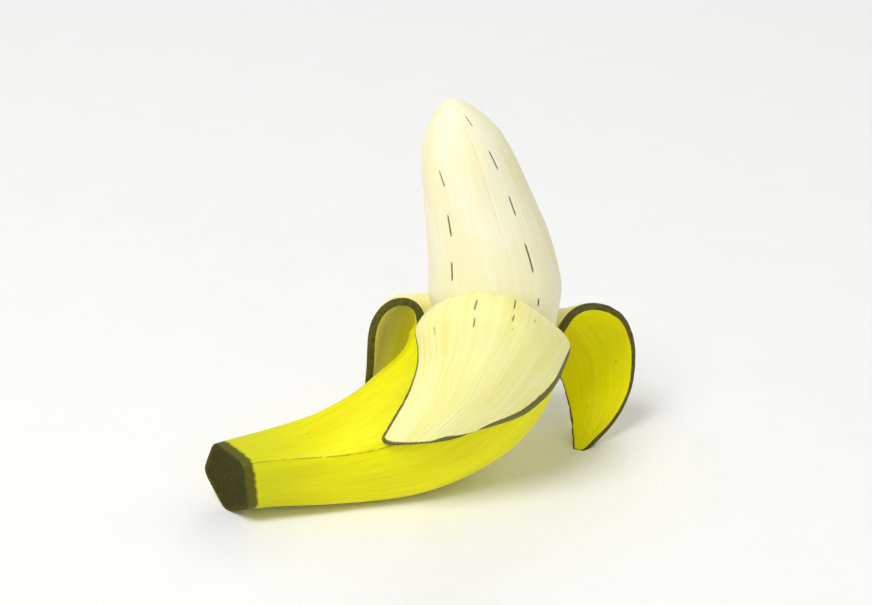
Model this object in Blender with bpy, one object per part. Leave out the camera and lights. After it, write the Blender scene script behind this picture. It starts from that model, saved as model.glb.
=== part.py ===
"""Half-peeled banana: a five-sided peel torn into three folded flaps, and the flesh standing in it.

Units are metres, +Z is up. The fruit lies on its back on a level surface with its stem towards -X, and
bends up so that the peeled end stands. The origin is the middle of the bounding box's bottom face.
"""

import bpy
import bmesh
import numpy as np

# ---- driving dimensions, in metres and degrees -----------------------------------------------------
LENGTH = 0.156  # centre line, stem end to tip
GIRTH = 0.0213  # greatest radius, at the belly
PEEL = 0.0028  # thickness of the skin
GAP = 0.0003  # between skin and flesh
MOUTH = 0.0865  # where the tears end, along the centre line
LEAN = 11.0  # how far the plane of the bend leans back from upright
RIDGE = 34.5  # angle of the first of the five ridges at the stem
TWIST = -21.5  # how far the ridges have turned at the body
TWIST_LONG = 0.045  # length over which they turn
STEM_CUT = 22.0  # slant of the cut across the stem
STEM_CORE = 0.017  # length of the solid stem
DISH = 0.0008  # hollow of the cut stem's face
REST = 0.0007  # how far the underside flattens on the surface
TIP_DROP = 39.0  # mm, see the side flaps' rows
ROWS_REACH = 20.98784839895  # mm, the skin's radius at the mouth that those rows are for
ROWS_MOUTH = 0.0865 / 0.156  # the mouth's share of the length that they are for
FLESH_WIDE = 0.0187  # greatest radius of the flesh above the mouth
FLESH_SWAY = 0.0011  # how far the flesh bulges to the outside of the bend there
TEAR_GAP = 0.0012  # how much each flap has drawn back from its torn edge
EDGE = 0.72  # thickness of a flap's torn edge, as a share of PEEL
TEARS = (-177.0, -78.0, 84.0, 183.0)  # angles at which the peel is torn
TURN = 9.0  # angle between columns of the peel's mesh
FLESH_SIDES = 36

# Direction of the centre line against its length: nearly straight, then the tight bend, then the top.
HEADING = (
    (0, 5), (0.07, 2), (0.14, 3.5), (0.2, 8), (0.26, 12.5), (0.33, 19.5), (0.39, 27), (0.45, 40.5),
    (0.515, 62.5), (0.58, 79), (0.645, 89), (0.72, 96.5), (0.78, 99.5), (0.85, 102), (1, 104),
)
# Radius as a share of GIRTH against length.
SWELL = (
    (0, 0.437), (0.07, 0.475), (0.133, 0.533), (0.195, 0.605), (0.26, 0.702), (0.325, 0.815),
    (0.39, 0.894), (0.45, 0.967), (0.515, 1.0), (0.58, 0.955), (0.645, 0.88), (0.72, 0.8),
    (0.78, 0.73), (0.85, 0.64), (0.91, 0.545), (0.96, 0.43), (1, 0.33),
)

# Front flap: each row gives, for five lines from one torn edge to the other, the way along the fruit
# from the mouth (mm), the angle round it and the height of the skin above the fruit's skin (mm).
FRONT_ROWS = (
    (0.0, (0, 0, 0, 0, 0), (-78, -37.5, 3, 43.5, 84), (0, 0, 0, 0, 0)),
    (0.1, (1.0, 4.8, 9.4, 9.0, 3.0), (-67, -34, 4, 43, 79), (0.3, 1.2, 2.1, 1.9, 0.6)),
    (0.2, (1.0, 6.4, 15.0, 14.6, 4.4), (-55, -27, 7, 45, 74), (0.9, 2.0, 3.2, 2.8, 1.4)),
    (0.28, (-1.0, 4.6, 14.0, 13.2, 2.4), (-47, -20, 10, 47, 71), (1.3, 3.2, 5.8, 5.2, 2.6)),
    (0.45, (-6.0, -0.5, 5.0, 2.5, -7.5), (-38, -11, 16, 46, 67), (1.3, 3.0, 5.4, 4.6, 2.0)),
    (0.64, (-10.5, -8.5, -8.5, -16, -23.5), (-27, -4, 20, 42, 58), (1.1, 2.1, 3.6, 2.8, 1.4)),
    (0.83, (-14, -15.5, -21, -29, -34), (-18, -1, 16, 31, 44), (1.0, 1.2, 1.6, 1.2, 1.0)),
    (1.0, (-21, -27, -35, -43, -44.5), (-6, 0, 7, 15, 23), (0.8, 0.8, 0.8, 0.8, 0.8)),
)
# Side flaps: each row gives three points from one torn edge to the other, in mm from the mouth's centre.
# They grow with the skin's radius at the mouth and turn with the bend there, and below the mouth they
# are stretched so that a point TIP_DROP down lies on the surface.
RIGHT_ROWS = (
    (0.0, None),
    (0.13, ((3.2, 23.6, -0.3), (18.0, 15.2, -5.0), (21.4, -3.4, -1.0))),
    (0.24, ((6.8, 26.5, -2.2), (21.6, 17.8, -5.0), (23.8, -3.2, 3.9))),
    (0.36, ((12.5, 30, -6.5), (28.4, 19.5, -6.3), (29.8, -0.6, 5.6))),
    (0.5, ((19.5, 31.5, -13), (35.6, 19.0, -11), (40.1, 4.3, 0.2))),
    (0.68, ((28.0, 25, -23.5), (39.0, 15.5, -21), (46.6, 6.8, -13.5))),
    (0.86, ((29.0, 11.5, -33.5), (35.5, 7.5, -32.5), (42.0, 3.6, -30))),
    (1.0, ((26.6, 0.4, -39), (27.6, -0.4, -39.3), (28.6, -1.2, -39))),
)
LEFT_ROWS = (
    (0.0, None),
    (0.13, ((-20.8, 1.0, 11.4), (-15.4, 16.6, 4.6), (-2.4, 23.6, 1.0))),
    (0.24, ((-24.0, 1.6, 13.2), (-17.2, 19.8, 4.6), (-4.2, 26.4, 0.6))),
    (0.36, ((-27.8, 3.0, 11.4), (-18.8, 22.4, 2.0), (-6.5, 29.4, -2))),
    (0.5, ((-30.6, 4.6, 5.6), (-20.6, 24.2, -4), (-9, 31.2, -9))),
    (0.68, ((-30.8, 7.4, -8), (-23.0, 25.0, -15.5), (-13.0, 31.8, -20))),
    (0.86, ((-30.2, 17, -27.5), (-26.5, 26, -30), (-20.5, 31.5, -32))),
    (1.0, ((-28.5, 29, -39), (-28.0, 30.8, -39.4), (-26.5, 32, -39))),
)


def spline(knots, values, at):
    """Natural cubic spline through the values at the knots, for one value or a row of them a knot."""
    x, y = np.asarray(knots, float), np.asarray(values, float)
    shape = y.shape[1:]
    y = y.reshape(len(x), -1)
    gap, last = np.diff(x), len(x) - 1
    system, right = np.eye(len(x)), np.zeros_like(y)
    for i in range(1, last):
        system[i, i - 1 : i + 2] = gap[i - 1], 2 * (gap[i - 1] + gap[i]), gap[i]
        right[i] = 6 * ((y[i + 1] - y[i]) / gap[i] - (y[i] - y[i - 1]) / gap[i - 1])
    bend = np.linalg.solve(system, right)
    at = np.atleast_1d(np.asarray(at, float))
    k = np.clip(np.searchsorted(x, at) - 1, 0, last - 1)
    h, a, b = gap[k][:, None], (x[k + 1] - at)[:, None], (at - x[k])[:, None]
    found = (bend[k] * a**3 + bend[k + 1] * b**3) / (6 * h)
    found += (y[k] / h - bend[k] * h / 6) * a + (y[k + 1] / h - bend[k + 1] * h / 6) * b
    return found.reshape(len(at), *shape)


def ease(x):
    x = np.clip(x, 0, 1)
    return x * x * (3 - 2 * x)


# ---- the fruit's centre line and sections ----------------------------------------------------------
ACROSS = np.array([0, -np.cos(np.radians(LEAN)), np.sin(np.radians(LEAN))])  # out of the bend's plane
RISE = np.array([0, np.sin(np.radians(LEAN)), np.cos(np.radians(LEAN))])
ALONG = np.array([1.0, 0, 0])
STEPS = np.linspace(-0.1 * LENGTH, 1.1 * LENGTH, 2401)
BEARING = np.radians(spline(*zip(*HEADING), np.clip(STEPS / LENGTH, 0, 1)))
TURNS = (BEARING[1:] + BEARING[:-1]) / 2
EAST = np.append(0, np.cumsum(np.cos(TURNS) * np.diff(STEPS)))
NORTH = np.append(0, np.cumsum(np.sin(TURNS) * np.diff(STEPS)))


def centre(s):
    s = np.asarray(s, float)
    return np.interp(s, STEPS, EAST)[..., None] * ALONG + np.interp(s, STEPS, NORTH)[..., None] * RISE


def inward(s):
    """The direction across the fruit towards the inside of its bend."""
    bearing = np.interp(s, STEPS, BEARING)[..., None]
    return np.cos(bearing) * RISE - np.sin(bearing) * ALONG


def five_sided(angle, power):
    """Distance from the centre of a rounded pentagon with a ridge at 0: a greater power sharpens it."""
    sides = (np.maximum(np.cos(np.radians(angle - 36 - 72 * k)), 0) ** power for k in range(5))
    return sum(sides) ** (-1 / power)


def radius(s, angle):
    """Five-sided and ridged at the stem, almost round at the belly."""
    s = np.asarray(s, float)
    round_radius = GIRTH * spline(*zip(*SWELL), np.clip(s / LENGTH, 0, 1).ravel()).reshape(s.shape)
    power = 3.0 + 9.0 * np.clip(0.62 - 0.55 * s / MOUTH, 0, 1)
    round_about = five_sided(np.arange(0, 360, 5.0), power[..., None]).mean(axis=-1)
    ridge = RIDGE + TWIST * ease(s / TWIST_LONG)
    return round_radius * five_sided(angle - ridge, power) / round_about


def on_section(s, angle, r):
    """The point at angle (0 faces -Y, 90 the inside of the bend) and distance r from the centre line."""
    s, angle, r = np.broadcast_arrays(np.asarray(s, float), angle, r)
    turn = np.radians(angle)[..., None]
    return centre(s) + r[..., None] * (np.cos(turn) * ACROSS + np.sin(turn) * inward(s))


def on_skin(s, angle, depth=0.0):
    return on_section(s, angle, radius(s, angle) - depth)


# ---- grids -----------------------------------------------------------------------------------------
def patch(net, rows, columns, t, v):
    """A smooth sheet through a net of points, len(t) by len(v)."""
    down = spline(rows, net, t).transpose(1, 0, 2)
    return spline(columns, down, v).transpose(1, 0, 2)


def narrowed(sheet, share):
    """The sheet with each row drawn in from both torn edges by its own share of the half width."""
    v = np.linspace(-1, 1, sheet.shape[1])
    rows = [spline(v, row, v * (1 - part)) for row, part in zip(sheet, share)]
    return np.array(rows)


def normals(sheet):
    across = np.cross(np.gradient(sheet, axis=0), np.gradient(sheet, axis=1))
    return across / np.linalg.norm(across, axis=2, keepdims=True)


def swung(points, share):
    """Points of a side flap's row turned with the mouth, when the bend there isn't the rows' own."""
    own = np.interp(ROWS_MOUTH * LENGTH, STEPS, BEARING)
    turn = share * (np.interp(MOUTH, STEPS, BEARING) - own)
    flat = (points @ ACROSS)[:, None] * ACROSS
    return flat + (points - flat) * np.cos(turn) + np.cross(ACROSS, points) * np.sin(turn)


def flap(rows, first, last, t, drop):
    """(skin side, flesh side) of the flap between two tears. drop: the mouth's height over the surface."""
    columns = int(round((last - first) / TURN)) + 1
    v = np.linspace(-1, 1, columns)
    angles = np.linspace(first, last, columns)
    if rows is FRONT_ROWS:
        lines = np.linspace(-1, 1, 5)
        net = []
        for _, ahead, angle, height in rows:
            s = MOUTH + np.array(ahead) * 1e-3
            net.append(on_skin(s, np.array(angle, float), -1e-3 * np.array(height)))
    else:
        lines = np.linspace(-1, 1, 3)
        net = [on_skin(MOUTH, np.linspace(first, last, 3))]
        reach = on_skin(MOUTH, 0.0) - centre(MOUTH)
        reach = np.linalg.norm(reach) / (1e-3 * ROWS_REACH)
        for down, points in rows[1:]:
            points = swung(1e-3 * reach * np.array(points), 1 - ease((down - 0.2) / 0.5))
            points[:, 2] *= np.where(points[:, 2] < 0, drop / (1e-3 * reach * TIP_DROP), 1)
            net.append(centre(MOUTH) + points)
    skin = patch(np.array(net), [row[0] for row in rows], lines, t, v)
    root = (1 - np.clip(t / 0.12, 0, 1))[:, None, None] ** 2
    skin += root * (on_skin(MOUTH, angles) - skin[0])
    skin = narrowed(skin, 2 * TEAR_GAP / (GIRTH * np.radians(last - first)) * ease(t / 0.07))
    out = normals(skin)
    if np.sum((skin[0] - centre(MOUTH)) * out[0]) < 0:
        out = -out
    tear = EDGE + (1 - EDGE) * (1 - np.abs(v) ** 6)
    tear = 1 - (1 - tear) * ease(t / 0.15)[:, None]
    thickness = PEEL * tear * (1 - 0.3 * ease((t - 0.6) / 0.4))[:, None]
    flesh_side = skin - thickness[..., None] * out
    flesh_side += root * (on_skin(MOUTH, angles, PEEL) - flesh_side[0])
    return skin, flesh_side


class Shell:
    """Collects grids of quads into one mesh. Grids that share a rim are joined by the weld at the end."""

    def __init__(self):
        self.bm = bmesh.new()

    def grid(self, points, turned=False, ring=False):
        rows = [[self.bm.verts.new(p) for p in row] for row in points]
        for low, high in zip(rows, rows[1:]):
            if ring:
                low, high = low + low[:1], high + high[:1]
            for a, b, c, d in zip(low, low[1:], high[1:], high):
                self.bm.faces.new((d, c, b, a) if turned else (a, b, c, d))

    def fan(self, points, middle, turned=False):
        rim = [self.bm.verts.new(p) for p in points]
        tip = self.bm.verts.new(middle)
        for a, b in zip(rim, rim[1:] + rim[:1]):
            self.bm.faces.new((b, a, tip) if turned else (a, b, tip))

    def finish(self, name, collection, colour, roughness):
        bmesh.ops.remove_doubles(self.bm, verts=self.bm.verts, dist=1e-6)
        bmesh.ops.recalc_face_normals(self.bm, faces=self.bm.faces)
        mesh = bpy.data.meshes.new(name)
        self.bm.to_mesh(mesh)
        self.bm.free()
        mesh.shade_smooth()
        mesh.set_sharp_from_angle(angle=np.radians(50))
        material = bpy.data.materials.new(name)
        material.use_nodes = True
        shader = material.node_tree.nodes["Principled BSDF"]
        shader.inputs["Base Color"].default_value = (*colour, 1)
        shader.inputs["Roughness"].default_value = roughness
        shader.inputs["Metallic"].default_value = 0.0
        mesh.materials.append(material)
        made = bpy.data.objects.new(name, mesh)
        collection.objects.link(made)
        return made


def peel_grids():
    """Named grids of the peel, in the fruit's own frame."""
    angles = np.arange(TEARS[0], TEARS[-1] - 0.5 * TURN, TURN)
    slant = np.tan(np.radians(STEM_CUT)) * np.cos(np.radians(angles))
    start = slant * radius(0.0, angles)
    share = np.linspace(0, 1, 22)[:, None]
    outer = on_skin(start + share * (MOUTH - start), angles)
    face = on_section(start * 0.86, angles, radius(0.0, angles) * 0.86)
    dish = on_section(start * 0.6 + DISH, angles, radius(0.0, angles) * 0.6)
    hollow = STEM_CORE + np.linspace(0, 1, 18)[:, None] ** 1.1 * (MOUTH - STEM_CORE)
    depth = PEEL * (1 + 0.35 * (1 - ease((hollow - STEM_CORE) / 0.03)))
    inner = on_skin(hollow, angles, depth)
    drop = centre(MOUTH)[2] - outer[..., 2].min() - REST
    t = np.concatenate([np.linspace(0, 0.4, 13)[:-1], np.linspace(0.4, 1, 10)])
    return {
        "outer": outer,
        "face": np.array([outer[0], face, dish]),
        "face_middle": centre(2.0 * DISH),
        "inner": inner,
        "core": centre(STEM_CORE - 0.004),
        "front": flap(FRONT_ROWS, TEARS[1], TEARS[2], t, drop),
        "right": flap(RIGHT_ROWS, TEARS[0], TEARS[1], t, drop),
        "left": flap(LEFT_ROWS, TEARS[2], TEARS[3], t, drop),
    }


def flesh_grid():
    """Rings of the flesh from its lower end, inside the peel, to just short of its tip."""
    angles = RIDGE + TWIST + np.linspace(0, 360, FLESH_SIDES, endpoint=False)
    foot = STEM_CORE + 0.006
    u = np.linspace(0, 1, 34)
    s = foot + (LENGTH - foot) * (1 - (1 - u) ** 1.25)
    s[-1] = LENGTH - 0.0006
    along = s[:, None]
    skin = radius(along, angles)
    inside = skin - PEEL * (1 + 0.35 * (1 - ease((along - STEM_CORE) / 0.03))) - GAP
    free = np.minimum(skin, FLESH_WIDE * skin / skin.mean(axis=1, keepdims=True))
    out = ease((along - MOUTH) / 0.018)
    r = inside * (1 - out) + free * out
    tip = np.clip((s - 0.9 * LENGTH) / (0.1 * LENGTH), 0, 1)
    base = np.clip(1 - (s - foot) / 0.008, 0, 1)
    r *= (np.sqrt(1 - tip**2.4) * np.sqrt(1 - 0.9 * base**2))[:, None]
    sway = FLESH_SWAY * ease((along - MOUTH) / 0.012) * ease((MOUTH + 0.045 - along) / 0.03)
    rings = on_section(along, angles, r) - sway[..., None] * inward(along)
    return rings, centre(foot - 0.0005), centre(LENGTH)


def build():
    for old in list(bpy.data.objects):
        bpy.data.objects.remove(old)
    collection = bpy.data.collections.new("Half-peeled banana")
    bpy.context.scene.collection.children.link(collection)

    grids = peel_grids()
    rings, foot, tip = flesh_grid()
    sheets = [grids["outer"]] + [side for name in ("front", "right", "left") for side in grids[name]]
    every = np.concatenate([sheet.reshape(-1, 3) for sheet in sheets] + [rings.reshape(-1, 3)])
    low, high = every.min(axis=0), every.max(axis=0)
    floor = grids["outer"][..., 2].min() + REST
    move = np.array([-(low[0] + high[0]) / 2, -(low[1] + high[1]) / 2, -floor])

    def placed(points, rests=False):
        points = points + move
        if rests:
            points[..., 2] = np.maximum(points[..., 2], 0)
        return points

    peel = Shell()
    peel.grid(placed(grids["outer"], True), ring=True)
    peel.grid(placed(grids["face"], True), turned=True, ring=True)
    peel.fan(placed(grids["face"][-1], True), placed(grids["face_middle"]), turned=True)
    peel.grid(placed(grids["inner"]), turned=True, ring=True)
    peel.fan(placed(grids["inner"][0]), placed(grids["core"]))
    for name in ("front", "right", "left"):
        skin, flesh_side = (placed(side, True) for side in grids[name])
        peel.grid(skin)
        peel.grid(flesh_side, turned=True)
        peel.grid([skin[:, 0], flesh_side[:, 0]])
        peel.grid([skin[:, -1], flesh_side[:, -1]], turned=True)
        peel.grid([skin[-1], flesh_side[-1]])
    peel.finish("peel", collection, (0.86, 0.75, 0.03), 0.45)

    flesh = Shell()
    flesh.grid(placed(rings), ring=True)
    flesh.fan(placed(rings[0]), placed(foot), turned=True)
    flesh.fan(placed(rings[-1]), placed(tip))
    flesh.finish("flesh", collection, (0.96, 0.9, 0.66), 0.55)


build()
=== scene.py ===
"""Half-peeled banana on a pale floor: the fine surface of the peel and the flesh over the CAD frame."""

import bpy
import numpy as np
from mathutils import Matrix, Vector


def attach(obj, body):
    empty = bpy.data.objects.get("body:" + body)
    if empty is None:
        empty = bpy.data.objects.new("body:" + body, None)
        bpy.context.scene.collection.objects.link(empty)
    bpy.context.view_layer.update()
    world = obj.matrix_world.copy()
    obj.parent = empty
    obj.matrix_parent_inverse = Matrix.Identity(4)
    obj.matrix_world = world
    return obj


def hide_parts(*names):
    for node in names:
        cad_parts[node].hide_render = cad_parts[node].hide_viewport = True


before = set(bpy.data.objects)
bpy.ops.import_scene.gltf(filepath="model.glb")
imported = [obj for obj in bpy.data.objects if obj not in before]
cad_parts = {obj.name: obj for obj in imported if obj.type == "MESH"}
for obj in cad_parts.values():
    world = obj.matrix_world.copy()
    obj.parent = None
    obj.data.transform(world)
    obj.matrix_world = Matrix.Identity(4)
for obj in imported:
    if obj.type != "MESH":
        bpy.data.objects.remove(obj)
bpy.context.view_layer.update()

# ---- sizes, in metres and degrees; those of the CAD part ---------------------------------------------
LENGTH = 0.156  # centre line, from the cut stem to the tip
GIRTH = 0.0213  # greatest radius
PEEL = 0.0028  # wall of the peel
GAP = 0.0003  # between the peel and the flesh
MOUTH = 0.0865  # way along the centre line to where the tears start
LEAN = 11.0  # of the plane that the centre line bends in
RIDGE = 34.5  # angle of a ridge at the stem
TWIST = -21.5  # turn of the ridges over the first TWIST_LONG
TWIST_LONG = 0.045
STEM_CUT = 22.0  # slant of the stem's cut face
STEM_CORE = 0.017  # length of the stem that is solid
DISH = 0.0008  # hollow of the cut face
REST = 0.0007  # flattened off underneath
TIP_DROP = 39.0  # mm, from the mouth's centre down to the resting surface in the rows below
FLESH_WIDE = 0.0187  # greatest mean radius of the bare flesh
FLESH_SWAY = 0.0011  # how far the flesh leans off the centre line just past the mouth
TEAR_GAP = 0.0012  # width lost to each tear
EDGE = 0.72  # thickness of a torn edge, as a share of the wall
TEARS = (-177.0, -78.0, 84.0, 183.0)
SHIFT = (-0.075199, -0.008609)  # X and Y from the fruit's own frame to the row's
HEADING = (
    (0, 5), (0.07, 2), (0.14, 3.5), (0.2, 8), (0.26, 12.5), (0.33, 19.5), (0.39, 27), (0.45, 40.5),
    (0.515, 62.5), (0.58, 79), (0.645, 89), (0.72, 96.5), (0.78, 99.5), (0.85, 102), (1, 104),
)
SWELL = (
    (0, 0.437), (0.07, 0.475), (0.133, 0.533), (0.195, 0.605), (0.26, 0.702), (0.325, 0.815),
    (0.39, 0.894), (0.45, 0.967), (0.515, 1.0), (0.58, 0.955), (0.645, 0.88), (0.72, 0.8),
    (0.78, 0.73), (0.85, 0.64), (0.91, 0.545), (0.96, 0.43), (1, 0.33),
)
# Front flap: each row gives, for five lines from one torn edge to the other, the way along the fruit
# from the mouth (mm), the angle round it and the height of the skin above the fruit's skin (mm).
FRONT_ROWS = (
    (0.0, (0, 0, 0, 0, 0), (-78, -37.5, 3, 43.5, 84), (0, 0, 0, 0, 0)),
    (0.1, (1.0, 4.8, 9.4, 9.0, 3.0), (-67, -34, 4, 43, 79), (0.3, 1.2, 2.1, 1.9, 0.6)),
    (0.2, (1.0, 6.4, 15.0, 14.6, 4.4), (-55, -27, 7, 45, 74), (0.9, 2.0, 3.2, 2.8, 1.4)),
    (0.28, (-1.0, 4.6, 14.0, 13.2, 2.4), (-47, -20, 10, 47, 71), (1.3, 3.2, 5.8, 5.2, 2.6)),
    (0.45, (-6.0, -0.5, 5.0, 2.5, -7.5), (-38, -11, 16, 46, 67), (1.3, 3.0, 5.4, 4.6, 2.0)),
    (0.64, (-10.5, -8.5, -8.5, -16, -23.5), (-27, -4, 20, 42, 58), (1.1, 2.1, 3.6, 2.8, 1.4)),
    (0.83, (-14, -15.5, -21, -29, -34), (-18, -1, 16, 31, 44), (1.0, 1.2, 1.6, 1.2, 1.0)),
    (1.0, (-21, -27, -35, -43, -44.5), (-6, 0, 7, 15, 23), (0.8, 0.8, 0.8, 0.8, 0.8)),
)
# Side flaps: each row gives three points from one torn edge to the other, in mm from the mouth's centre.
# Below the mouth they are stretched so that a point TIP_DROP down lies on the surface.
RIGHT_ROWS = (
    (0.0, None),
    (0.13, ((3.2, 23.6, -0.3), (18.0, 15.2, -5.0), (21.4, -3.4, -1.0))),
    (0.24, ((6.8, 26.5, -2.2), (21.6, 17.8, -5.0), (23.8, -3.2, 3.9))),
    (0.36, ((12.5, 30, -6.5), (28.4, 19.5, -6.3), (29.8, -0.6, 5.6))),
    (0.5, ((19.5, 31.5, -13), (35.6, 19.0, -11), (40.1, 4.3, 0.2))),
    (0.68, ((28.0, 25, -23.5), (39.0, 15.5, -21), (46.6, 6.8, -13.5))),
    (0.86, ((29.0, 11.5, -33.5), (35.5, 7.5, -32.5), (42.0, 3.6, -30))),
    (1.0, ((26.6, 0.4, -39), (27.6, -0.4, -39.3), (28.6, -1.2, -39))),
)
LEFT_ROWS = (
    (0.0, None),
    (0.13, ((-20.8, 1.0, 11.4), (-15.4, 16.6, 4.6), (-2.4, 23.6, 1.0))),
    (0.24, ((-24.0, 1.6, 13.2), (-17.2, 19.8, 4.6), (-4.2, 26.4, 0.6))),
    (0.36, ((-27.8, 3.0, 11.4), (-18.8, 22.4, 2.0), (-6.5, 29.4, -2))),
    (0.5, ((-30.6, 4.6, 5.6), (-20.6, 24.2, -4), (-9, 31.2, -9))),
    (0.68, ((-30.8, 7.4, -8), (-23.0, 25.0, -15.5), (-13.0, 31.8, -20))),
    (0.86, ((-30.2, 17, -27.5), (-26.5, 26, -30), (-20.5, 31.5, -32))),
    (1.0, ((-28.5, 29, -39), (-28.0, 30.8, -39.4), (-26.5, 32, -39))),
)

# ---- detail ------------------------------------------------------------------------------------------
COLUMN = 1.0  # degrees between the columns of the peel
FLAP_LONG = 0.072  # length of a flap, for its pattern
LOWEST = 0.00002  # height of the peel's underside, clear of the floor
WHOLE = 0.02  # distance to a torn edge that is given where there is none
FAR_RIDGE = 0.06  # where along the fruit the ridges of the flaps are taken from
RIM_PATTERN = np.array([0.0021, 0.0013, 0])  # way of the pattern across a torn edge
# Short creases where the front flap turns over, grooved and darkened with painted shade on the flap's inside:
# angle at its root, and from and to along it.
CREASES = (
    (55, 0.225, 0.27), (48.5, 0.35, 0.40), (21, 0.255, 0.31), (20, 0.33, 0.38),
    (-1, 0.19, 0.275), (-2, 0.29, 0.325), (-4, 0.34, 0.355), (-16, 0.255, 0.275),
)
# Short lines on the flesh: angle at the lower and the upper end, and from and to along the centre line.
FLESH_LINES = (
    (69, 68, 0.1462, 0.1474), (48, 54, 0.1350, 0.1405), (51, 51, 0.1210, 0.1283),
    (57, 55, 0.1078, 0.1146), (59, 58, 0.1014, 0.1034),
    (-16, -15, 0.1480, 0.1522), (-22, -20, 0.1356, 0.1420), (-22, -23, 0.1227, 0.1291),
    (-21, -21, 0.1074, 0.1161), (-22, -22, 0.0988, 0.1019),
)
SKIN, PITH, TORN, STEM = range(4)  # material slots of the peel


def spline(knots, values, at):
    """Natural cubic spline through the values at the knots, for one value or a row of them a knot."""
    x, y = np.asarray(knots, float), np.asarray(values, float)
    shape = y.shape[1:]
    y = y.reshape(len(x), -1)
    gap, last = np.diff(x), len(x) - 1
    system, right = np.eye(len(x)), np.zeros_like(y)
    for i in range(1, last):
        system[i, i - 1 : i + 2] = gap[i - 1], 2 * (gap[i - 1] + gap[i]), gap[i]
        right[i] = 6 * ((y[i + 1] - y[i]) / gap[i] - (y[i] - y[i - 1]) / gap[i - 1])
    bend = np.linalg.solve(system, right)
    at = np.atleast_1d(np.asarray(at, float))
    k = np.clip(np.searchsorted(x, at) - 1, 0, last - 1)
    h, a, b = gap[k][:, None], (x[k + 1] - at)[:, None], (at - x[k])[:, None]
    found = (bend[k] * a**3 + bend[k + 1] * b**3) / (6 * h)
    found += (y[k] / h - bend[k] * h / 6) * a + (y[k + 1] / h - bend[k + 1] * h / 6) * b
    return found.reshape(len(at), *shape)


def ease(x):
    """Smooth step from 0 at 0 to 1 at 1."""
    x = np.clip(x, 0, 1)
    return x * x * (3 - 2 * x)


def bump(x, width):
    """Smooth hump: 1 at 0, and 0.37 at the width."""
    return np.exp(-((x / width) ** 2))


def noise(points, scale, seed):
    """Smooth noise from -1 to 1 at points (..., 3), with features of about scale."""
    table = np.random.default_rng(seed).uniform(-1, 1, (32, 32, 32))
    p = np.asarray(points, float) / scale + 1000.37
    base = np.floor(p).astype(int)
    f = ease(p - base)
    total = 0
    for corner in np.ndindex(2, 2, 2):
        i, j, k = ((base[..., n] + corner[n]) % 32 for n in range(3))
        weight = np.prod([f[..., n] if corner[n] else 1 - f[..., n] for n in range(3)], axis=0)
        total = total + weight * table[i, j, k]
    return total


ACROSS = np.array([0, -np.cos(np.radians(LEAN)), np.sin(np.radians(LEAN))])
RISE = np.array([0, np.sin(np.radians(LEAN)), np.cos(np.radians(LEAN))])
ALONG = np.array([1.0, 0, 0])
STEPS = np.linspace(-0.1 * LENGTH, 1.1 * LENGTH, 2401)
BEARING = np.radians(spline(*zip(*HEADING), np.clip(STEPS / LENGTH, 0, 1)))
TURNS = (BEARING[1:] + BEARING[:-1]) / 2
EAST = np.append(0, np.cumsum(np.cos(TURNS) * np.diff(STEPS)))
NORTH = np.append(0, np.cumsum(np.sin(TURNS) * np.diff(STEPS)))


def centre(s):
    """Point of the centre line at the way s along it."""
    s = np.asarray(s, float)
    return np.interp(s, STEPS, EAST)[..., None] * ALONG + np.interp(s, STEPS, NORTH)[..., None] * RISE


def inward(s):
    """Direction across the centre line, to the inner side of its bend."""
    bearing = np.interp(s, STEPS, BEARING)[..., None]
    return np.cos(bearing) * RISE - np.sin(bearing) * ALONG


def ridge(s):
    """Angle of one of the five ridges."""
    return RIDGE + TWIST * ease(np.asarray(s, float) / TWIST_LONG)


def five_sided(angle, power):
    """Radius of a rounded pentagon whose sides are 1 from its middle; a higher power is sharper."""
    sides = (np.maximum(np.cos(np.radians(angle - 36 - 72 * k)), 0) ** power for k in range(5))
    return sum(sides) ** (-1 / power)


def radius(s, angle):
    """Radius of the fruit's skin."""
    s = np.asarray(s, float)
    round_radius = GIRTH * spline(*zip(*SWELL), np.clip(s / LENGTH, 0, 1).ravel()).reshape(s.shape)
    power = 3.0 + 9.0 * np.clip(0.62 - 0.55 * s / MOUTH, 0, 1)
    round_about = five_sided(np.arange(0, 360, 5.0), power[..., None]).mean(axis=-1)
    return round_radius * five_sided(angle - ridge(s), power) / round_about


def on_section(s, angle, r):
    """Point at an angle and a radius on the section at s."""
    s, angle, r = np.broadcast_arrays(np.asarray(s, float), angle, r)
    turn = np.radians(angle)[..., None]
    return centre(s) + r[..., None] * (np.cos(turn) * ACROSS + np.sin(turn) * inward(s))


def on_skin(s, angle, depth=0.0):
    """Point at a depth under the fruit's skin."""
    return on_section(s, angle, radius(s, angle) - depth)


def straight(s, angle, r=0.0195):
    """The place of a point of the fruit if it were straight and round, for patterns that run along it."""
    s, angle = np.broadcast_arrays(np.asarray(s, float), angle)
    turn = np.radians(angle)
    return np.stack([r * np.cos(turn), r * np.sin(turn), s], axis=-1)


def normals(sheet):
    """Unit normals of a grid of points."""
    across = np.cross(np.gradient(sheet, axis=0), np.gradient(sheet, axis=1))
    return across / np.maximum(np.linalg.norm(across, axis=2, keepdims=True), 1e-12)


def ridge_off(s, angle):
    """Degrees to the nearest of the five ridges."""
    return np.abs((angle - ridge(s) + 36) % 72 - 36)


def stem_start(angle):
    """Way along the centre line to where the stem's slanted cut meets the skin."""
    return np.tan(np.radians(STEM_CUT)) * np.cos(np.radians(angle)) * radius(0.0, angle)


def wall(s):
    """Thickness of the peel round the hollow, more towards the stem."""
    return PEEL * (1 + 0.35 * (1 - ease((s - STEM_CORE) / 0.03)))


def resting_height():
    """Height of the resting surface in the fruit's own frame, from columns as far apart as the CAD part's."""
    angles = np.arange(TEARS[0], TEARS[-1] - 4.5, 9.0)
    start = stem_start(angles)
    s = start + np.linspace(0, 1, 22)[:, None] * (MOUTH - start)
    return on_skin(s, angles)[..., 2].min() + REST


FLOOR_HEIGHT = resting_height()
TO_ROW = np.array([*SHIFT, -FLOOR_HEIGHT])


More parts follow.
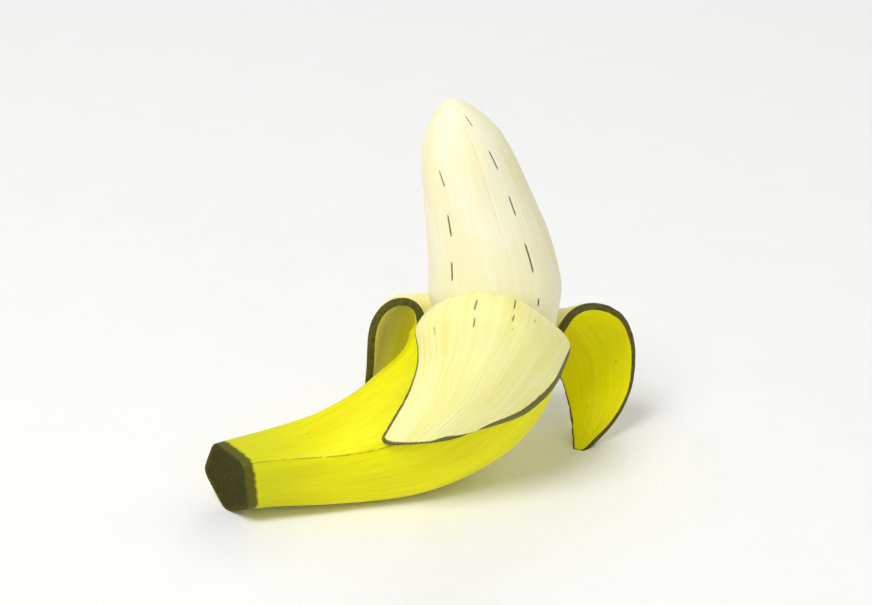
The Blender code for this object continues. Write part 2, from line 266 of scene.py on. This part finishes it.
def rested(points):
    """Points of the peel in the row's frame, none of them below the resting surface."""
    points = points + TO_ROW
    points[..., 2] = np.maximum(points[..., 2], LOWEST)
    return points


# ---- meshes ------------------------------------------------------------------------------------------
class Surface:
    """Grids of quads with values at their points, gathered into one welded mesh."""

    def __init__(self, names):
        self.names = names
        self.points, self.faces, self.slots = [], [], []
        self.values = {name: [] for name in names}
        self.place, self.count = [], 0

    def grid(self, points, place, slot=0, turned=False, ring=False, **values):
        """A grid of points, with the place of each for patterns; ring joins the last column to the first."""
        n, m = points.shape[:2]
        index = self.count + np.arange(n * m).reshape(n, m)
        if ring:
            index = np.concatenate([index, index[:, :1]], axis=1)
        a, b, c, d = index[:-1, :-1], index[:-1, 1:], index[1:, 1:], index[1:, :-1]
        quads = np.stack([d, c, b, a] if turned else [a, b, c, d], axis=-1).reshape(-1, 4)
        self.points.append(points.reshape(-1, 3))
        self.place.append(np.broadcast_to(place, points.shape).reshape(-1, 3))
        self.faces.append(quads)
        self.slots.append(np.full(len(quads), slot))
        for name in self.names:
            self.values[name].append(np.broadcast_to(values.get(name, 0.0), (n, m)).ravel())
        self.count += n * m

    def finish(self, name, materials, sharp):
        """One object of all the grids, with points in the same place made one."""
        points = np.concatenate(self.points)
        _, first, index = np.unique(
            np.round(points, 6), axis=0, return_index=True, return_inverse=True
        )
        faces = index.reshape(-1)[np.concatenate(self.faces)]
        slots = np.concatenate(self.slots)
        lists, kept = [], []
        for face, slot in zip(faces.tolist(), slots.tolist()):
            corners = list(dict.fromkeys(face))
            if len(corners) > 2:
                lists.append(corners)
                kept.append(slot)
        mesh = bpy.data.meshes.new(name)
        mesh.from_pydata(points[first].tolist(), [], lists)
        mesh.polygons.foreach_set("material_index", kept)
        store = mesh.attributes.new("straight", "FLOAT_VECTOR", "POINT")
        store.data.foreach_set("vector", np.concatenate(self.place)[first].ravel())
        for key in self.names:
            store = mesh.attributes.new(key, "FLOAT", "POINT")
            store.data.foreach_set("value", np.concatenate(self.values[key])[first])
        for material in materials:
            mesh.materials.append(material)
        mesh.validate()
        mesh.shade_smooth()
        mesh.set_sharp_from_angle(angle=np.radians(sharp))
        made = bpy.data.objects.new(name, mesh)
        bpy.context.scene.collection.objects.link(made)
        return made


def skin_relief(place, angle, s):
    """Height of the skin's own relief: lumps, fibres along the fruit and the crests of the ridges."""
    along = place * (1, 1, 0.12)
    lumps = 0.00016 * noise(place, 0.011, 1)
    fibres = 0.00005 * noise(along, 0.0011, 2) + 0.00004 * noise(along, 0.0022, 3)
    crest = 0.00018 * bump(ridge_off(s, angle), 2.6) * ease((0.125 - s) / 0.05)
    return lumps + fibres + crest


def pith_relief(place):
    """Height of the fibrous inside of the peel."""
    along = place * (1, 1, 0.07)
    cords = 0.00011 * noise(along, 0.0016, 5) + 0.00005 * noise(along, 0.0007, 6)
    return cords + 0.00010 * noise(place, 0.007, 7)


def creases(angle, t):
    """From 0 to 1, the creases of the front flap at an angle and the share t of the way along it."""
    found = 0
    for where, low, high in CREASES:
        found = found + bump(angle - where, 0.42) * ease((t - low) / 0.012) * ease((high - t) / 0.012)
    return found


def flap_net(rows, first, last):
    """The rows' points in the fruit's own frame."""
    if rows is FRONT_ROWS:
        return [
            on_skin(MOUTH + np.array(ahead) * 1e-3, np.array(angle, float), -1e-3 * np.array(height))
            for _, ahead, angle, height in rows
        ]
    net = [on_skin(MOUTH, np.linspace(first, last, 3))]
    drop = centre(MOUTH)[2] - FLOOR_HEIGHT
    for _, points in rows[1:]:
        points = 1e-3 * np.array(points)
        points[:, 2] *= np.where(points[:, 2] < 0, drop / (1e-3 * TIP_DROP), 1)
        net.append(centre(MOUTH) + points)
    return net


def torn_side(t, seed):
    """How far a torn side stands in from the flap's full width."""
    along = np.stack([t * FLAP_LONG, 0 * t, 0 * t], axis=-1)
    wander = 0.00035 * noise(along, 0.0045, seed) + 0.0002 * noise(along, 0.0013, seed + 5)
    return TEAR_GAP * ease(t / 0.07) + wander * ease(t / 0.05)


def flap_skin(rows, first, last, t, angles, half, seed):
    """The skin side of a flap, and the place of each point across it, from -1 to 1."""
    v = 2 * (angles - first) / (last - first) - 1
    net = flap_net(rows, first, last)
    lines = np.linspace(-1, 1, len(net[0]))
    down = spline([row[0] for row in rows], np.array(net), t)
    sides = [torn_side(t, seed + side) / half for side in (0, 1)]
    to_ring = on_skin(MOUTH, angles) - spline(lines, down[0], v)
    skin, way = [], []
    for i, root in enumerate((1 - np.clip(t / 0.12, 0, 1)) ** 2):
        w = np.where(v < 0, v * (1 - sides[0][i]), v * (1 - sides[1][i]))
        row = spline(lines, down[i], w)
        if root > 0:
            row = row + root * np.stack([np.interp(w, v, to_ring[:, n]) for n in range(3)], axis=-1)
        skin.append(row)
        way.append(w)
    return np.array(skin), np.array(way), v


def flap(rows, first, last, seed):
    """Fine grids of one flap: skin side, flesh side and normals, and for each point the share of the way
    along, the way along the fruit, the angle and the distance to the torn edge."""
    t = np.concatenate([np.linspace(0, 0.42, 76)[:-1], np.linspace(0.42, 1, 62)])
    angles = np.linspace(first, last, int(round((last - first) / COLUMN)) + 1)
    if rows is FRONT_ROWS:
        fine = [crease[0] + np.arange(-0.8, 0.9, 0.2) for crease in CREASES]
        angles = np.unique(np.round(np.concatenate([angles, *fine]), 2))
    half = GIRTH * np.radians(last - first) / 2
    skin, way, v = flap_skin(rows, first, last, t, angles, half, seed)
    out = normals(skin)
    if np.sum((skin[0] - centre(MOUTH)) * out[0]) < 0:
        out = -out
    t = t[:, None]
    share = EDGE + (1 - EDGE) * (1 - np.abs(v) ** 6)
    share = 1 - (1 - share) * ease(t / 0.15)
    thickness = PEEL * share * (1 - 0.3 * ease((t - 0.6) / 0.4))
    flesh_side = skin - thickness[..., None] * out
    root = (1 - np.clip(t / 0.12, 0, 1)) ** 2
    flesh_side += root[..., None] * (on_skin(MOUTH, angles, PEEL) - flesh_side[0])
    s = MOUTH + np.broadcast_to(t * FLAP_LONG, way.shape)
    angle = (first + last) / 2 + way * (last - first) / 2
    steps = np.linalg.norm(np.diff(flesh_side, axis=1, prepend=flesh_side[:, :1]), axis=2)
    run = np.cumsum(steps, axis=1)
    edge = np.minimum(np.minimum(run, run[:, -1:] - run), (1 - t) * FLAP_LONG)
    return skin, flesh_side, out, t, s, angle, edge


def add_shell(peel, angles):
    """The skin that is still whole, from the stem's cut to the mouth."""
    start = stem_start(angles)
    s = start + np.linspace(0, 1, 125)[:, None] * (MOUTH - start)
    place = straight(s, angles)
    fade = np.minimum(ease((MOUTH - s) / 0.004), ease((s - start) / 0.001))
    outer = on_section(s, angles, radius(s, angles) + fade * skin_relief(place, angles, s))
    front = bump(angles - ridge(s), 12.0)
    mark = bump(ridge_off(s, angles), 2.4) * (0.84 + 0.16 * front)
    peel.grid(rested(outer), place, SKIN, ring=True, tear=WHOLE, cut=s - start, ridge=mark)


def add_stem_face(peel, angles):
    """The stem's cut face, dished and rough."""
    rings = []
    for part in np.linspace(1, 0.03, 18):
        sunk = DISH * ease((1 - part) / 0.45)
        rings.append(on_section(stem_start(angles) * part + sunk, angles, radius(0.0, angles) * part))
    rings = np.array(rings)
    place = np.stack([rings[..., 0] * 0, rings @ ACROSS, rings @ RISE], axis=-1)
    rough = 0.00018 * noise(place, 0.0009, 8) + 0.00022 * noise(place, 0.0026, 9)
    rings[1:-1] -= rough[1:-1, :, None] * ALONG
    depth = np.linspace(0, 1, 18)[:, None]
    peel.grid(rested(rings), place, STEM, turned=True, ring=True, cut=depth)
    hub = np.array([rings[-1], np.broadcast_to(rings[-1].mean(axis=0), rings[-1].shape)])
    peel.grid(rested(hub), np.zeros(3), STEM, turned=True, ring=True, cut=1.0)


def add_hollow(peel, angles):
    """The hollow that holds the flesh."""
    s = STEM_CORE + np.linspace(0, 1, 30)[:, None] ** 1.1 * (MOUTH - STEM_CORE)
    inner = on_skin(s, angles, wall(s))
    peel.grid(rested(inner), straight(s, angles), PITH, turned=True, ring=True, tear=WHOLE)
    tip = np.array([np.broadcast_to(centre(STEM_CORE - 0.004), inner[0].shape), inner[0]])
    peel.grid(rested(tip), straight(0.0, angles), PITH, turned=True, ring=True, tear=WHOLE)


def add_rims(peel, skin, flesh_side, place, seed):
    """The torn faces along both sides and the tip of a flap, rounded and frayed."""
    w = np.linspace(0, 1, 7)[:, None]
    rims = (
        (skin[:, 0], flesh_side[:, 0], skin[:, 1], place[:, 0], False),
        (skin[:, -1], flesh_side[:, -1], skin[:, -2], place[:, -1], True),
        (skin[-1], flesh_side[-1], skin[-2], place[-1], False),
    )
    for outer, inner, inside, spot, turned in rims:
        away = outer - inside
        away /= np.maximum(np.linalg.norm(away, axis=1, keepdims=True), 1e-12)
        where = spot[:, None] + w * RIM_PATTERN
        swell = (0.00028 + 0.00022 * noise(where, 0.0009, seed)) * np.sin(np.pi * w[:, 0])
        strip = outer[:, None] * (1 - w) + inner[:, None] * w + swell[..., None] * away[:, None]
        peel.grid(rested(strip), where, TORN, turned=turned, tear=0.0, cut=w[:, 0])


def add_flap(peel, number, rows, first, last):
    """One flap with its relief, its stained edge and its torn faces."""
    skin, flesh_side, out, t, s, angle, edge = flap(rows, first, last, 20 + 10 * number)
    place = straight(s, angle)
    fade = ease(t / 0.06) * ease(edge / 0.0015)
    ribs = skin_relief(place, angle, FAR_RIDGE) * fade
    pith = pith_relief(place) * fade
    stain, fold = edge, 0.0
    if rows is FRONT_ROWS:
        fold = creases(angle, t)
        pith = pith - 0.00035 * fold * fade
        # The stain is wider along the lower torn edge.
        low = ease(-angle / 20) * ease((t - 0.04) / 0.1) * (1 - 0.5 * ease((t - 0.88) / 0.12))
        stain = np.maximum(edge - 0.0023 * low, 0)
    skin = skin + ribs[..., None] * out
    flesh_side = flesh_side - pith[..., None] * out
    mark = 0.55 * bump(ridge_off(s, angle), 3.0)
    peel.grid(rested(skin), place, SKIN, tear=edge, cut=0.1, ridge=mark)
    peel.grid(rested(flesh_side), place, PITH, turned=True, tear=stain, cut=0.1, ridge=mark, fold=fold)
    add_rims(peel, skin, flesh_side, place, 40 + number)


def build_peel(materials):
    peel = Surface(["tear", "cut", "ridge", "fold"])
    angles = np.arange(TEARS[0], TEARS[-1] - 0.5 * COLUMN, COLUMN)
    add_shell(peel, angles)
    add_stem_face(peel, angles)
    add_hollow(peel, angles)
    add_flap(peel, 0, FRONT_ROWS, TEARS[1], TEARS[2])
    add_flap(peel, 1, RIGHT_ROWS, TEARS[0], TEARS[1])
    add_flap(peel, 2, LEFT_ROWS, TEARS[2], TEARS[3])
    return peel.finish("peel_skin", materials, 48)


def flesh_marks(s, angles):
    """From 0 to 1, the short lines on the flesh."""
    marks = np.zeros(np.broadcast(s, angles).shape)
    for start, end, low, high in FLESH_LINES:
        line = start + (end - start) * np.clip((s - low) / (high - low), 0, 1)
        near = bump((angles - line + 180) % 360 - 180, 0.8)
        marks = np.maximum(marks, near * ease((s - low) / 0.0012) * ease((high - s) / 0.0012))
    return marks


def flesh_radius(s, angles, foot):
    """Radius of the flesh: a fit in the hollow up to the mouth, then bare, and closed at both ends."""
    skin = radius(s, angles)
    inside = skin - wall(s) - GAP
    bare = np.minimum(skin, FLESH_WIDE * skin / skin.mean(axis=1, keepdims=True))
    out = ease((s - MOUTH) / 0.018)
    tip = np.clip((s - 0.9 * LENGTH) / (0.1 * LENGTH), 0, 1)
    base = np.clip(1 - (s - foot) / 0.008, 0, 1)
    return (inside * (1 - out) + bare * out) * (np.sqrt(1 - tip**2.4) * np.sqrt(1 - 0.9 * base**2))


def build_flesh(materials):
    angles = RIDGE + TWIST + np.linspace(0, 360, 540, endpoint=False)
    foot = STEM_CORE + 0.006
    s = foot + (LENGTH - foot) * (1 - (1 - np.linspace(0, 1, 250)) ** 1.25)
    s[-1] = LENGTH - 0.00002
    s = s[:, None]
    place = straight(s, angles, 0.016)
    along = place * (1, 1, 0.1)
    relief = 0.00018 * noise(place, 0.012, 50) + 0.00007 * noise(along, 0.0018, 51)
    relief += 0.00004 * noise(along, 0.0008, 52) - 0.00012 * bump((angles - RIDGE) % 72 - 36, 2.0)
    show = ease((s - MOUTH) / 0.006) * ease((LENGTH - s) / 0.006)
    marks = flesh_marks(s, angles)
    r = flesh_radius(s, angles, foot) + show * relief - 0.0004 * marks
    sway = FLESH_SWAY * ease((s - MOUTH) / 0.012) * ease((MOUTH + 0.045 - s) / 0.03)
    points = on_section(s, angles, r) - sway[..., None] * inward(s) + TO_ROW
    flesh = Surface(["line"])
    flesh.grid(points, place, ring=True, line=marks)
    tip = np.array([points[-1], np.broadcast_to(centre(LENGTH) + TO_ROW, points[-1].shape)])
    flesh.grid(tip, place[-2:], ring=True)
    return flesh.finish("flesh_fruit", materials, 180)


# ---- materials; colours are sRGB, 0 to 255 -----------------------------------------------------------
class Nodes:
    """Short calls for building a node material."""

    def __init__(self, name):
        self.material = bpy.data.materials.new(name)
        self.material.use_nodes = True
        self.tree = self.material.node_tree
        self.shader = self.tree.nodes["Principled BSDF"]

    def put(self, socket, value):
        """Links a socket to a socket, or sets it to a value."""
        if isinstance(value, bpy.types.NodeSocket):
            self.tree.links.new(value, socket)
        elif isinstance(value, tuple) and len(value) == 3 and socket.type == "RGBA":
            socket.default_value = (*value, 1)
        else:
            socket.default_value = value

    def node(self, kind, out=0, inputs=None, **settings):
        """A new node's output, with its settings and inputs set."""
        made = self.tree.nodes.new(kind)
        for key, value in settings.items():
            setattr(made, key, value)
        for key, value in (inputs or {}).items():
            self.put(made.inputs[key], value)
        return made.outputs[out]

    def value(self, name):
        """A value stored at the mesh's points."""
        return self.node("ShaderNodeAttribute", "Fac", attribute_name=name)

    def place(self, along):
        """The point's place on the straightened fruit. A small scale along it makes long streaks."""
        spot = self.node("ShaderNodeAttribute", "Vector", attribute_name="straight")
        return self.node("ShaderNodeMapping", 0, {"Vector": spot, "Scale": (1, 1, along)})

    def noise(self, vector, scale, detail, rough):
        return self.node(
            "ShaderNodeTexNoise", "Fac",
            {"Vector": vector, "Scale": scale, "Detail": detail, "Roughness": rough},
        )

    def math(self, operation, a, b):
        return self.node("ShaderNodeMath", 0, {0: a, 1: b}, operation=operation)

    def span(self, value, low, high, to_low=0.0, to_high=1.0):
        """Smooth step as the value goes from low to high."""
        inputs = {"Value": value, "From Min": low, "From Max": high, "To Min": to_low, "To Max": to_high}
        return self.node("ShaderNodeMapRange", 0, inputs, interpolation_type="SMOOTHSTEP")

    def share(self, value, part):
        return self.math("MULTIPLY", value, part)

    def mix(self, factor, a, b):
        made = self.tree.nodes.new("ShaderNodeMix")
        made.data_type = "RGBA"
        self.put(made.inputs["Factor"], factor)
        self.put(made.inputs["A"], a)
        self.put(made.inputs["B"], b)
        return made.outputs["Result"]

    def bump(self, height, strength, distance):
        inputs = {"Height": height, "Strength": strength, "Distance": distance}
        return self.node("ShaderNodeBump", 0, inputs)

    def finish(self, **inputs):
        for key, value in inputs.items():
            self.put(self.shader.inputs[key.replace("_", " ")], value)
        return self.material


def srgb(*colour):
    """A colour of 0 to 255 a channel, as the linear values that a shader takes."""
    shares = (c / 255 for c in colour)
    return tuple(c / 12.92 if c <= 0.04045 else ((c + 0.055) / 1.055) ** 2.4 for c in shares)


def skin_material():
    """Yellow skin: streaks, a greenish neck, freckles, worn ridges, a brown stem band and torn edges."""
    n = Nodes("banana_skin")
    streaks = n.noise(n.place(0.08), 900, 4, 0.6)
    wide = n.noise(n.place(0.35), 90, 3, 0.5)
    fine = n.noise(n.place(0.5), 2600, 2, 0.6)
    colour = n.mix(n.span(wide, 0.35, 0.7), srgb(247, 244, 4), srgb(240, 230, 6))
    colour = n.mix(n.share(n.span(streaks, 0.42, 0.75), 0.34), colour, srgb(216, 203, 10))
    green = n.share(n.span(n.value("cut"), 0.03, 0.004), 0.55)
    colour = n.mix(green, colour, srgb(186, 194, 30))
    dots = n.node("ShaderNodeTexVoronoi", "Distance", {"Vector": n.place(0.6), "Scale": 330.0})
    pick = n.noise(n.place(1), 150, 2, 0.5)
    freckle = n.share(n.span(dots, 0.17, 0.08), n.span(pick, 0.6, 0.68))
    colour = n.mix(n.share(freckle, 0.5), colour, srgb(128, 96, 24))
    worn = n.noise(n.place(0.5), 420, 4, 0.65)
    ridge = n.share(n.span(n.value("ridge"), 0.72, 0.98), n.span(worn, 0.36, 0.56))
    colour = n.mix(n.share(ridge, 0.62), colour, srgb(120, 100, 20))
    band = n.math("ADD", n.value("cut"), n.share(worn, 0.0016))
    brown = n.mix(worn, srgb(98, 96, 20), srgb(84, 82, 14))
    colour = n.mix(n.span(band, 0.0038, 0.0028), colour, brown)
    torn = n.math("ADD", n.value("tear"), n.share(worn, 0.0012))
    colour = n.mix(n.span(torn, 0.0011, 0.0007), colour, srgb(96, 90, 18))
    height = n.math("ADD", n.share(streaks, 0.6), n.share(fine, 0.4))
    normal = n.bump(height, 0.34, 0.0003)
    rough = n.span(wide, 0.3, 0.8, 0.44, 0.56)
    return n.finish(
        Base_Color=colour, Roughness=rough, Normal=normal, Specular_IOR_Level=0.3,
        Specular_Tint=(1.0, 0.97, 0.55, 1.0), Subsurface_Weight=0.05,
        Subsurface_Radius=(0.004, 0.003, 0.0005), Subsurface_Scale=0.3,
    )


def pith_material():
    """Pale stringy inside of the peel, with painted shade in the creases and a stained edge."""
    n = Nodes("banana_peel_inside")
    cords = n.noise(n.place(0.05), 620, 4, 0.6)
    fuzz = n.noise(n.place(0.25), 1900, 3, 0.6)
    wide = n.noise(n.place(0.4), 110, 2, 0.5)
    colour = n.mix(n.span(cords, 0.35, 0.7), srgb(254, 250, 172), srgb(249, 240, 148))
    colour = n.mix(n.share(n.span(wide, 0.4, 0.75), 0.3), colour, srgb(255, 253, 200))
    colour = n.mix(n.share(n.span(fuzz, 0.62, 0.85), 0.25), colour, srgb(226, 208, 110))
    # Painted shade: the colour is darkened along the grooves of the front flap's creases.
    colour = n.mix(n.share(n.value("fold"), 0.9), colour, srgb(78, 70, 30))
    torn = n.math("ADD", n.value("tear"), n.share(fuzz, 0.0008))
    colour = n.mix(n.share(n.span(torn, 0.0013, 0.0009), 0.94), colour, srgb(88, 84, 22))
    height = n.math("ADD", n.share(cords, 0.7), n.share(fuzz, 0.3))
    normal = n.bump(height, 0.45, 0.0004)
    return n.finish(
        Base_Color=colour, Roughness=n.span(cords, 0.3, 0.7, 0.62, 0.78), Normal=normal,
        Specular_IOR_Level=0.25, Subsurface_Weight=0.15, Subsurface_Radius=(0.005, 0.004, 0.0015),
        Subsurface_Scale=0.35, Sheen_Weight=0.08, Sheen_Roughness=0.5,
    )


def tear_material():
    """Dark face of a tear."""
    n = Nodes("banana_torn_edge")
    strands = n.noise(n.place(0.5), 1500, 4, 0.65)
    patches = n.noise(n.place(1), 380, 2, 0.5)
    colour = n.mix(n.span(strands, 0.3, 0.7), srgb(72, 69, 18), srgb(104, 98, 30))
    colour = n.mix(n.share(n.span(patches, 0.5, 0.8), 0.5), colour, srgb(58, 52, 16))
    normal = n.bump(strands, 0.6, 0.0004)
    return n.finish(Base_Color=colour, Roughness=0.7, Normal=normal, Specular_IOR_Level=0.3)


def stem_material():
    """Dark, open-grained cut face of the stem."""
    n = Nodes("banana_stem_cut")
    grain = n.noise(n.place(1), 1400, 4, 0.65)
    pores = n.node("ShaderNodeTexVoronoi", "Distance", {"Vector": n.place(1), "Scale": 1300.0})
    rim = n.span(n.value("cut"), 0.03, 0.13)
    colour = n.mix(rim, srgb(84, 84, 14), srgb(64, 62, 6))
    colour = n.mix(n.share(n.span(grain, 0.48, 0.66), 0.7), colour, srgb(40, 34, 6))
    colour = n.mix(n.share(n.span(pores, 0.3, 0.12), 0.6), colour, srgb(104, 98, 34))
    height = n.math("ADD", grain, n.share(pores, 0.6))
    normal = n.bump(height, 0.7, 0.0005)
    return n.finish(Base_Color=colour, Roughness=0.82, Normal=normal, Specular_IOR_Level=0.2)


def flesh_material():
    """Cream flesh with fine strands and short dark lines."""
    n = Nodes("banana_flesh")
    strands = n.noise(n.place(0.07), 700, 4, 0.55)
    soft = n.noise(n.place(0.5), 120, 3, 0.5)
    fine = n.noise(n.place(0.6), 2300, 3, 0.6)
    colour = n.mix(n.span(soft, 0.35, 0.7), srgb(255, 250, 216), srgb(253, 244, 198))
    colour = n.mix(n.share(n.span(strands, 0.5, 0.8), 0.35), colour, srgb(246, 232, 176))
    colour = n.mix(n.span(n.value("line"), 0.1, 0.75), colour, srgb(70, 60, 30))
    height = n.math("ADD", n.share(strands, 0.5), n.share(fine, 0.5))
    return n.finish(
        Base_Color=colour, Roughness=n.span(fine, 0.3, 0.7, 0.5, 0.66), Normal=n.bump(height, 0.3, 0.0003),
        Specular_IOR_Level=0.35, Subsurface_Weight=0.22, Subsurface_Radius=(0.008, 0.006, 0.003),
        Subsurface_Scale=0.5,
    )


def floor_material():
    n = Nodes("studio_floor")
    spot = n.node("ShaderNodeTexCoord", "Object")
    grain = n.noise(spot, 60, 3, 0.5)
    colour = n.mix(grain, srgb(249, 249, 248), srgb(252, 252, 252))
    return n.finish(Base_Color=colour, Roughness=0.9, Specular_IOR_Level=0.1)


# ---- scene -------------------------------------------------------------------------------------------
LIGHTS = (  # name, place, height of the point it faces, width and power in watts
    ("key", (-0.75, -0.50, 1.60), 0.04, 0.9, 18.6),
    ("fill", (0.60, -1.70, 0.70), 0.04, 1.1, 1.6),
    ("back", (0.80, 1.50, 1.10), 0.05, 1.2, 5.0),
)
SKY = 0.47  # strength of the white world
FLOOR_WIDE = 8
TARGET = Vector((-0.00036, -0.00835, 0.05493))
AZIMUTH, ELEVATION, DISTANCE = np.radians(-17.0), np.radians(25.0), 0.65
LENS, SENSOR = 99.4, 36.0  # mm


def link(made, at, back):
    """Puts a light or camera in the scene, with its back to the given direction."""
    made.location = at
    made.rotation_euler = (-back).to_track_quat("-Z", "Y").to_euler()
    bpy.context.scene.collection.objects.link(made)


def light(name, at, height, size, power):
    data = bpy.data.lights.new(name, "AREA")
    data.shape, data.size, data.energy = "DISK", size, power
    link(bpy.data.objects.new(name, data), at, Vector(at) - Vector((0, 0, height)))


peel = build_peel([skin_material(), pith_material(), tear_material(), stem_material()])
flesh = build_flesh([flesh_material()])
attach(peel, "root")
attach(flesh, "root")
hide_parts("peel")
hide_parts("flesh")

bpy.ops.mesh.primitive_plane_add(size=FLOOR_WIDE)
floor = bpy.context.active_object
floor.name = "floor"
floor.data.materials.append(floor_material())

for lamp in LIGHTS:
    light(*lamp)
world = bpy.data.worlds.new("studio")
world.use_nodes = True
world.node_tree.nodes["Background"].inputs["Color"].default_value = (1, 1, 1, 1)
world.node_tree.nodes["Background"].inputs["Strength"].default_value = SKY
bpy.context.scene.world = world
bpy.context.scene.view_settings.view_transform = "Standard"
bpy.context.scene.view_settings.look = "None"

level = np.cos(ELEVATION)
back = Vector((np.sin(AZIMUTH) * level, -np.cos(AZIMUTH) * level, np.sin(ELEVATION)))
camera = bpy.data.objects.new("camera", bpy.data.cameras.new("camera"))
camera.data.lens, camera.data.sensor_width = LENS, SENSOR
camera.data.clip_start = 0.01
link(camera, TARGET + DISTANCE * back, back)
bpy.context.scene.camera = camera
